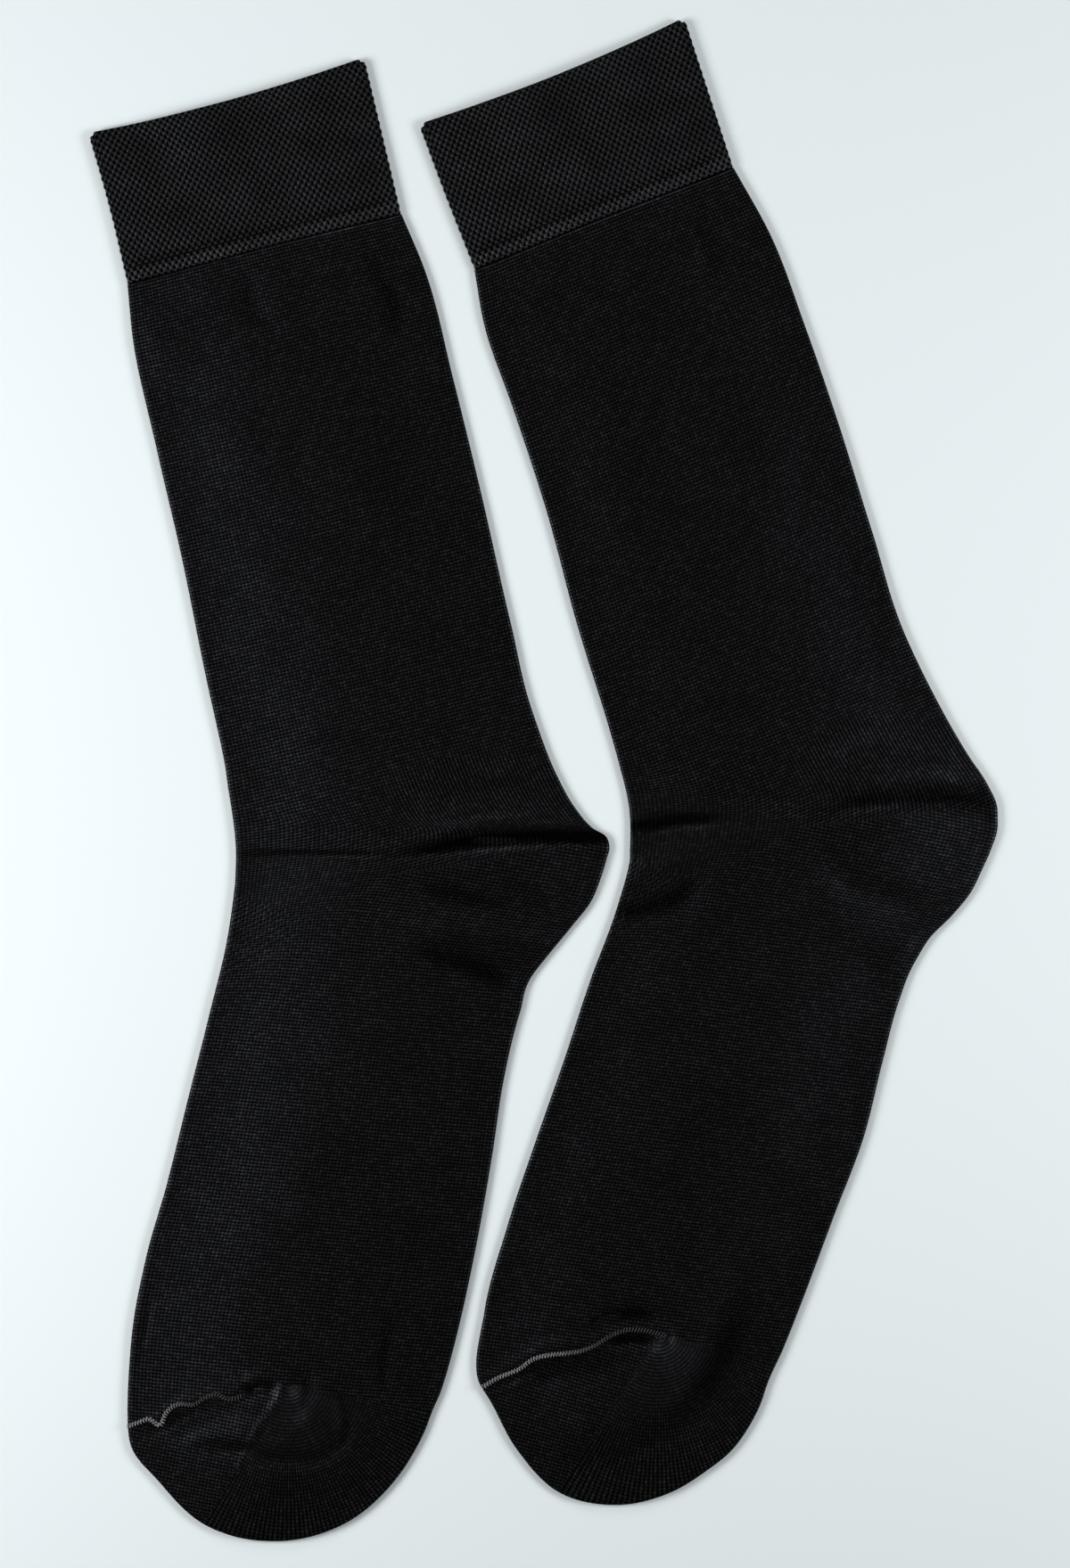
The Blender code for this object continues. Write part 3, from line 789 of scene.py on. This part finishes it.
jersey_material = plain_jersey_cotton()
bodies, body_tops = {}, {}
for number, side in enumerate(SIDES):
    ankle = ankle_of(side)
    fronts, backs, toe_point = body_edges(side, ankle)
    fronts, backs = even_rows(fronts, backs, ROW_PITCH, FINE_PITCH, FINE_ROWS)
    tip = (fronts[-1] + backs[-1]) / 2
    fronts, backs = fronts[:-1], backs[:-1]
    start = WELT_GAP * heading(270 + LEG_LEAN[side])
    fronts[0] += start
    backs[0] += start
    rings = ring(top=118, bottom=22, edge=8)
    place, _, high, cloth = rings
    half = JERSEY_WALL + AIR / 2
    from_tip = np.linalg.norm((fronts + backs) / 2 - tip, axis=1)[:, None]
    height = np.sqrt(1 - (1 - np.clip(from_tip / half, 0, 1)) ** 2)
    flat = pressed(fronts, backs, rings, JERSEY_WALL, 0, 0, 1)[1]
    from_ankle = flat - ankle
    width = np.linalg.norm(backs - fronts, axis=1)
    span = width[:, None] - 2 * half
    wale = (place + half * cloth / np.maximum(span, half)) * WALES_ACROSS * WALE
    down = down_wales(flat)
    at_ankle = np.linalg.norm(from_ankle, axis=2).argmin()
    at_ball = np.linalg.norm(flat - toe_point, axis=2).argmin() // flat.shape[1]
    below = down[at_ball] - down
    above = below.ravel()[at_ankle] + down.ravel()[at_ankle] - down
    away = np.minimum(from_fold(fronts, backs, place), from_tip + 0 * place)
    soft = creased(from_ankle, CREASES[side]) + undulation(flat, 21 + number, JERSEY_UNEVENNESS)
    for middle, reach, rise in SWELLINGS[side]:
        soft += rise * bell(np.linalg.norm(from_ankle - middle, axis=2), reach)
    lift = crown(fronts, backs, place, *CROWN[side]) * (1 - bell(from_tip, TIP_REACH))
    lift = lift + soft * (1 - bell(away, FOLD_REACH))
    outer, plan = pressed(fronts, backs, rings, JERSEY_WALL, 0, lift, height)
    lined = (width > LEAST_LINED).sum()
    wall_rows = np.unique(np.append(np.arange(0, lined, WALL_ROW_STEP), lined - 1))
    sunk = pressed(fronts, backs, rings, JERSEY_WALL, JERSEY_WALL, lift, 1)[0]
    from_patch = np.linalg.norm((from_ankle - STRETCHED_AT) / STRETCHED_REACH, axis=2)
    stretch = np.clip(2.5 - 2 * from_patch, 0, 1) * (high > 0)
    # Painted shade: how deep in a crease each point lies, which darkens its colour.
    hollow = np.clip((-soft - DIM_HOLLOW) / (DARK_HOLLOW - DIM_HOLLOW), 0, 1)
    facts = np.stack([plan[..., 0], plan[..., 1], wale, above, below, stretch, hollow], axis=-1)
    body, corners, tip_corners = shell(
        f"{side}_body", outer, facts, sunk[wall_rows], facts[wall_rows], np.append(tip, half)
    )
    gores = [ankle + np.array(line) for line in (HEEL_GORES[side], TOE_GORES[side])]
    faces = [corners, tip_corners]
    lay_uv(body.data, "knit", [stitches(side, part, ankle, toe_point) for part in faces])
    lay_uv(body.data, "gores", [gore_places(part[..., :2], gores) for part in faces])
    # The stretch map's second place is the depth that sets the painted hollow shade.
    lay_uv(body.data, "stretch", [part[..., 5:7] for part in faces])
    body.data.materials.append(jersey_material)
    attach(body, "root")
    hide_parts(*(f"{side}_{part}" for part in ("leg", "heel", "foot", "toe")))
    bodies[side] = body
    body_tops[side] = outer[:, high >= 0].reshape(-1, 3)

# The toe seams: the row of loops that links the toe shut, across the top of the toes. A grey polyester
# thread is wound round the two joined edges, turn after turn, and the seam puckers where the machine held
# the cloth.
SEAMS = {
    "left": [
        (-84, -180.5),
        (-80, -179),
        (-77, -178),
        (-73.5, -180),
        (-71.5, -176),
        (-68.5, -173.5),
        (-62, -173),
        (-59, -171),
        (-56, -170),
        (-50.5, -171.5),
        (-47.5, -170.5),
    ],
    "right": [
        (-100, -180),
        (-95, -177),
        (-88, -174),
        (-84, -171),
        (-78.5, -169.5),
        (-73.5, -169),
        (-68, -168),
        (-63.5, -166),
        (-59.5, -163.5),
        (-54, -161.5),
        (-46.5, -162),
        (-41.5, -163.5),
    ],
}
# The loops: how far apart, how high, how much wider than high, how deep the last ones sink, and their
# thread. The mesh has so many rings to a loop, of so many sides, along a path of so many points.
LOOP_PITCH = 0.95
LOOP_RADIUS = 0.42
LOOP_WIDENS = 1.5
LOOP_SINKS = 0.45
THREAD_RADIUS = 0.13
LOOP_STEPS = 14
THREAD_SIDES = 6
PATH_POINTS = 120


def unit(vectors):
    """These vectors at a length of one."""
    return vectors / np.linalg.norm(vectors, axis=1, keepdims=True)


def helix_thread(path):
    """A thread wound round a path: its centre circles the path once a pitch, and a small ring is carried
    along it. Each ring stands in the plane across the thread's own direction."""
    length = travel(path)[-1]
    at = np.linspace(0, length, math.ceil(length / LOOP_PITCH) * LOOP_STEPS)
    centre = smooth(at, travel(path), path)
    ahead = unit(np.gradient(centre, at, axis=0))
    side = unit(np.cross(ahead, [0, 0, 1]))
    up = np.cross(side, ahead)
    turned = (at / LOOP_PITCH * 2 * np.pi)[:, None]
    centre = centre + LOOP_RADIUS * (np.cos(turned) * side * LOOP_WIDENS + np.sin(turned) * up)
    ahead = unit(np.gradient(centre, at, axis=0))
    first = unit(np.cross(ahead, side + 0.01 * up))
    second = np.cross(ahead, first)
    round_it = np.linspace(0, 2 * np.pi, THREAD_SIDES, endpoint=False)[None, :, None]
    off_centre = np.cos(round_it) * first[:, None] + np.sin(round_it) * second[:, None]
    return centre[:, None] + THREAD_RADIUS * off_centre


def linking_thread():
    """Grey spun polyester thread, matt, with fine plies that twist along it. Its map runs from 0 at the
    folded edge to 1 at the end where the loops sink among the black stitches, and its colour goes from light
    grey to
    dark grey along it: painted shade where the loops sink."""
    material, tree, shader = start_material("spun grey linking thread")
    place = add(tree, "TexCoord", {}, output="Object")
    plies = add(tree, "TexNoise", {"Vector": place, "Scale": 2500.0, "Detail": 2.0})
    along = add(tree, "SeparateXYZ", {0: add(tree, "UVMap", {}, uv_map="thread")})
    # Painted shade: the thread's colour darkens towards the end where its loops sink into the cloth.
    sinking = {0: along, 1: 0.3, 2: 0.65, 3: 1.2, 4: 0.15}
    unshaded = add(tree, "MapRange", sinking, interpolation_type="SMOOTHSTEP")
    unshaded = add(tree, "Math", {0: plies, 1: unshaded}, operation="MULTIPLY")
    shades = {"Factor": unshaded, "A": linear("#2c2c2e"), "B": linear("#b4b4b8")}
    colour = add(tree, "Mix", shades, output=2, data_type="RGBA")
    tree.links.new(colour, shader.inputs["Base Color"])
    bump = add(tree, "Bump", {"Strength": 0.4, "Distance": 0.00005, "Height": plies})
    tree.links.new(bump, shader.inputs["Normal"])
    shader.inputs["Roughness"].default_value = 0.6
    shader.inputs["Specular IOR Level"].default_value = 0.3
    return material


thread_material = linking_thread()
for side in SIDES:
    path = ankle_of(side) + np.array(SEAMS[side], float)
    top = body_tops[side]
    path = smooth(np.linspace(0, travel(path)[-1], PATH_POINTS), travel(path), path)
    near = np.linalg.norm(top[None, :, :2] - path[:, None], axis=2)
    closest = np.argsort(near, axis=1)[:, :6]
    sunk = LOOP_SINKS * np.linspace(0, 1, PATH_POINTS) ** 2
    z = top[closest, 2].mean(axis=1) + LOOP_RADIUS + THREAD_RADIUS - sunk
    rings = helix_thread(np.column_stack([path, z]))
    count = rings.shape[0]
    numbers = np.arange(count * THREAD_SIDES).reshape(count, -1)
    numbers = np.concatenate([numbers, numbers[:, :1]], axis=1)
    quads = np.concatenate([strip(a, b) for a, b in zip(numbers[:-1], numbers[1:])])
    ends = [numbers[0, :-1].tolist(), numbers[-1, -2::-1].tolist()]
    mesh = bpy.data.meshes.new(f"{side}_toe_linking")
    mesh.from_pydata((rings.reshape(-1, 3) * MM).tolist(), [], quads.tolist() + ends)
    mesh.shade_smooth()
    corner_points = np.empty(len(mesh.loops), np.int32)
    mesh.loops.foreach_get("vertex_index", corner_points)
    ring_number, round_number = np.divmod(corner_points, THREAD_SIDES)
    places = np.stack([ring_number / count, round_number / THREAD_SIDES], axis=-1)
    lay_uv(mesh, "thread", [places])
    mesh.materials.append(thread_material)
    seam = bpy.data.objects.new(mesh.name, mesh)
    bpy.context.scene.collection.objects.link(seam)
    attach(seam, "root")
    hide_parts(f"{side}_toe_seam")

# The table that the socks lie on: a smooth, pale, cool white board, a hair below their undersides.
FLOOR_SIZE = 6.0
FLOOR_LEVEL = -0.0002
floor_mesh = bpy.data.meshes.new("floor")
reach = FLOOR_SIZE / 2
corners = [(-reach, -reach), (reach, -reach), (reach, reach), (-reach, reach)]
floor_mesh.from_pydata([(*corner, FLOOR_LEVEL) for corner in corners], [], [(0, 1, 2, 3)])
floor = bpy.data.objects.new("floor", floor_mesh)
bpy.context.scene.collection.objects.link(floor)
board, _, board_shader = start_material("matt white lacquered board")
board_shader.inputs["Base Color"].default_value = linear("#e6eef0")
board_shader.inputs["Roughness"].default_value = 0.55
board_shader.inputs["Specular IOR Level"].default_value = 0.3
floor_mesh.materials.append(board)

# The light: low soft boxes to the left and to the right, a weaker one beyond the mouths, and an even pale
# room. Each box has its place, its width and its power, and faces the middle of the pair.
ROOM_LIGHT = 0.13
LIGHTS = {
    "left softbox": ((-0.64, -0.06, 0.52), 0.4, 5.2),
    "right softbox": ((0.72, -0.02, 0.56), 0.4, 4.7),
    "top softbox": ((-0.1, 0.9, 0.7), 0.5, 2.4),
}
for name, (place, size, watts) in LIGHTS.items():
    lamp = bpy.data.lights.new(name, "AREA")
    lamp.shape = "DISK"
    lamp.size = size
    lamp.energy = watts
    lamp_object = bpy.data.objects.new(name, lamp)
    lamp_object.location = place
    yaw = math.atan2(place[1], place[0])
    tilt = math.acos(place[2] / np.linalg.norm(place))
    lamp_object.rotation_euler = (0, tilt, yaw)
    bpy.context.scene.collection.objects.link(lamp_object)
world = bpy.data.worlds.new("pale room")
world.use_nodes = True
room = world.node_tree.nodes["Background"]
room.inputs["Color"].default_value = linear("#eef4f6")
room.inputs["Strength"].default_value = ROOM_LIGHT
bpy.context.scene.world = world
bpy.context.scene.view_settings.view_transform = "Standard"

# The camera, straight above the pair and a little aside from its middle. The view is this long on the table.
VIEW_LENGTH = 0.4996
LENS = 85.0
SENSOR = 36.0
ASIDE = (-0.0027, -0.0014)
camera_data = bpy.data.cameras.new("camera")
camera_data.lens = LENS
camera_data.sensor_width = SENSOR
camera = bpy.data.objects.new("camera", camera_data)
middle = (cad_box[0] + cad_box[1]) / 2
camera.location = (middle.x + ASIDE[0], middle.y + ASIDE[1], VIEW_LENGTH * LENS / SENSOR)
bpy.context.scene.collection.objects.link(camera)
bpy.context.scene.camera = camera
